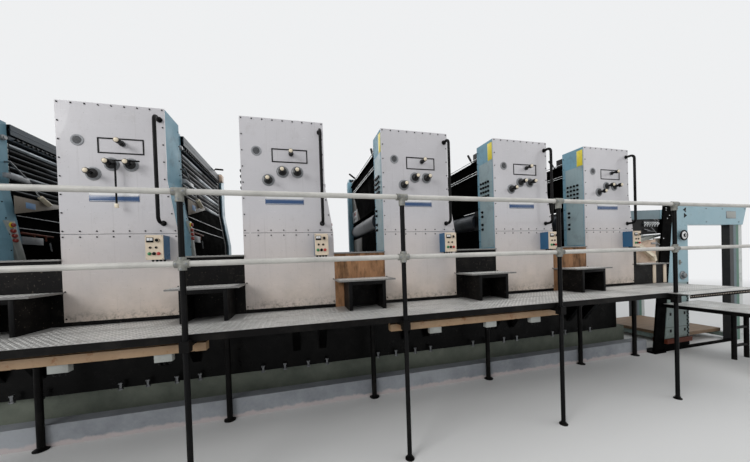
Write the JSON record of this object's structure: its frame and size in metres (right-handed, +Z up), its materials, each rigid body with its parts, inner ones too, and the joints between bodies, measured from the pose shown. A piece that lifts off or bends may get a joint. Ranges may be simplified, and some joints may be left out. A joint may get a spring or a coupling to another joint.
{
  "type": "offset printing press",
  "caption": "Raised sheet-fed offset printing press with printing units in a row, an operator's walkway with handrail, and a feeder portal at one end.",
  "frame": {"origin": "on the floor under the middle of the whole press", "axes": "+X along the press towards the feeder, +Y from the operator's side to the far side, +Z up"},
  "size_m": [12.1506, 3.2, 3.249],
  "materials": {
    "kerb_paint": "painted concrete, dusty",
    "plinth_concrete": "greenish concrete",
    "black_paint": "black paint, oily",
    "frame_dark": "oily dark paint",
    "dark_steel": "oiled steel",
    "pale_panel": "off-white enamel",
    "hood_teal": "grey-blue enamel",
    "cover_grey_teal": "grey-teal enamel",
    "slate_cover": "dark slate enamel",
    "black_rubber": "rubber gasket",
    "vent_grey": "pressed sheet",
    "black_plastic": "moulded plastic",
    "cream_cap": "cream plastic",
    "black_tube": "black satin tube",
    "box_blue": "blue enamel",
    "box_cream": "cream plate",
    "plate_blue": "bare pale plate",
    "tread_plate": "diamond tread plate",
    "roller_black": "inked rubber",
    "guard_black": "black guards",
    "rail_white": "off-white tube",
    "clamp_grey": "cast clamps",
    "tray_beige": "rusty beige sheet",
    "feeder_blue": "light blue enamel",
    "foot_red": "red oxide paint",
    "hoist_green": "green-grey column",
    "board_wood": "pile board",
    "head_grey": "grey head",
    "table_grey": "grey board",
    "cabinet_tan": "tan sheet",
    "cylinder_steel": "blue-grey ground steel"
  },
  "bodies": {
    "frame": {"concrete_kerb": "kerb_paint", "concrete_plinth": "plinth_concrete", "machine_bed": "black_paint", "near_side_frames": "frame_dark", "far_side_frames": "frame_dark", "tie_bars": "dark_steel", "upper_front_panels": "pale_panel", "lower_front_panels": "pale_panel", "side_hoods": "hood_teal", "cover_plates": "cover_grey_teal", "rear_covers": "pale_panel", "ink_duct_covers": "slate_cover", "hatch_frames": "black_rubber", "hatch_doors": "pale_panel", "round_vents": "vent_grey", "turn_knobs": "black_plastic", "knob_caps": "cream_cap", "grab_bars": "black_tube", "control_boxes": "box_blue", "control_faces": "box_cream", "name_plates": "plate_blue", "step_boxes": "black_paint", "step_treads": "tread_plate", "ink_rollers": "roller_black", "roller_guards": "guard_black", "deck_plates": "tread_plate", "deck_beams": "black_paint", "deck_legs": "black_tube", "rail_posts": "black_tube", "guard_rails": "rail_white", "rail_fittings": "clamp_grey", "drip_trays": "tray_beige", "feeder_side_frames": "feeder_blue", "feeder_beams": "feeder_blue", "feeder_feet": "foot_red", "hoist_columns": "hoist_green", "pile_board": "board_wood", "suction_head": "head_grey", "infeed_head": "black_paint", "feed_table": "table_grey", "infeed_columns": "guard_black", "infeed_cabinet": "cabinet_tan"},
    "handwheel": {"feeder_handwheel": "black_plastic"},
    "cylinder_1": {"impression_cylinder_1": "cylinder_steel"},
    "cylinder_2": {"impression_cylinder_2": "cylinder_steel"},
    "cylinder_3": {"impression_cylinder_3": "cylinder_steel"},
    "cylinder_4": {"impression_cylinder_4": "cylinder_steel"},
    "cylinder_5": {"impression_cylinder_5": "cylinder_steel"},
    "cylinder_6": {"impression_cylinder_6": "cylinder_steel"}
  },
  "joints": [
    {"name": "handwheel_turn", "type": "hinge", "parent": "frame", "child": "handwheel", "pos_m": [4.24425, -0.317, 2], "axis": [0, -1, 0], "continuous": true},
    {"name": "cylinder_turn_1", "type": "hinge", "parent": "frame", "child": "cylinder_1", "pos_m": [-5.67375, 0.5575, 2.256], "axis": [0, 1, 0], "continuous": true},
    {"name": "cylinder_turn_2", "type": "hinge", "parent": "frame", "child": "cylinder_2", "pos_m": [-4.18375, 0.5575, 2.256], "axis": [0, 1, 0], "continuous": true},
    {"name": "cylinder_turn_3", "type": "hinge", "parent": "frame", "child": "cylinder_3", "pos_m": [-2.69375, 0.5575, 2.256], "axis": [0, 1, 0], "continuous": true},
    {"name": "cylinder_turn_4", "type": "hinge", "parent": "frame", "child": "cylinder_4", "pos_m": [-1.20375, 0.5575, 2.256], "axis": [0, 1, 0], "continuous": true},
    {"name": "cylinder_turn_5", "type": "hinge", "parent": "frame", "child": "cylinder_5", "pos_m": [0.28625, 0.5575, 2.256], "axis": [0, 1, 0], "continuous": true},
    {"name": "cylinder_turn_6", "type": "hinge", "parent": "frame", "child": "cylinder_6", "pos_m": [1.77625, 0.5575, 2.256], "axis": [0, 1, 0], "continuous": true}
  ],
  "couplings": [
    {"joint": "cylinder_turn_2", "follows": "cylinder_turn_1", "ratio": 1},
    {"joint": "cylinder_turn_3", "follows": "cylinder_turn_1", "ratio": 1},
    {"joint": "cylinder_turn_4", "follows": "cylinder_turn_1", "ratio": 1},
    {"joint": "cylinder_turn_5", "follows": "cylinder_turn_1", "ratio": 1},
    {"joint": "cylinder_turn_6", "follows": "cylinder_turn_1", "ratio": 1}
  ]
}
